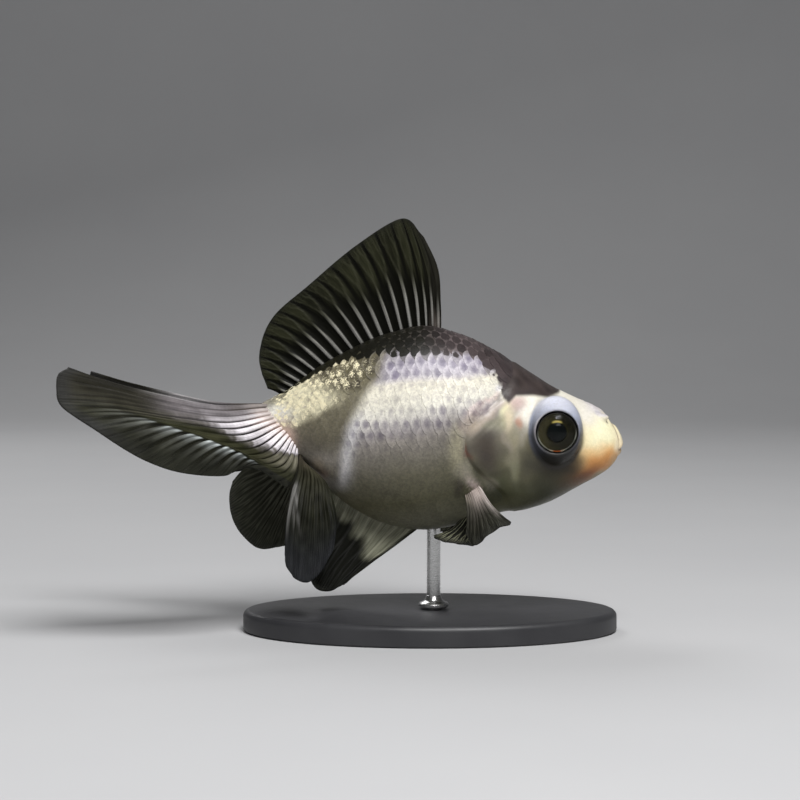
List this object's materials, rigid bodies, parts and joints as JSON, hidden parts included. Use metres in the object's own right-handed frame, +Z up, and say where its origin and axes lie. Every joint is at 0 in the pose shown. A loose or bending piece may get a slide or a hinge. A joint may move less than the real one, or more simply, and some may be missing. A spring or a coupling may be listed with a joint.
{
  "type": "young butterfly-tailed fancy goldfish model on a display stand",
  "caption": "Still life-size model of a young fancy goldfish with bulging eyes, a tall dorsal fin and a spread twin tail, held by a rod over a flat oval base.",
  "frame": {"origin": "middle of the underside of the stand's base", "axes": "+X towards the snout, +Y to the fish's left, +Z up"},
  "size_m": [0.0886, 0.044, 0.066],
  "materials": {
    "scaled_skin": "pearly scaled skin, black saddle on the back, gold sheen on the tail stalk",
    "head_skin": "moist bare skin, cream to orange snout, olive cheek, dark forehead",
    "eye_bulb_skin": "bluish white translucent-looking skin round the eye",
    "eye": "black pupil, dark olive iris, thin silver ring, wet gloss",
    "cornea": "clear wet dome over the iris",
    "fin": "thin membrane, black between pale branching rays, clearer towards the edge",
    "stand_paint": "fine satin dark grey paint",
    "stand_steel": "brushed stainless steel"
  },
  "bodies": {
    "root": {"head": "head_skin", "lower_jaw": "head_skin", "gill_cover_right": "head_skin", "gill_cover_left": "head_skin", "nostril_right": "head_skin", "nostril_left": "head_skin", "eye_bulb_right": "eye_bulb_skin", "eye_bulb_left": "eye_bulb_skin", "eye_right": "eye", "eye_left": "eye", "trunk": "scaled_skin", "tail_stalk": "scaled_skin", "dorsal_fin": "fin", "tail_upper_right": "fin", "tail_upper_left": "fin", "tail_lower_right": "fin", "tail_lower_left": "fin", "anal_fin_right": "fin", "anal_fin_left": "fin", "pelvic_fin_right": "fin", "pelvic_fin_left": "fin", "pectoral_fin_right": "fin", "pectoral_fin_left": "fin", "stand_base": "stand_paint", "stand_rod": "stand_steel"}
  },
  "joints": []
}
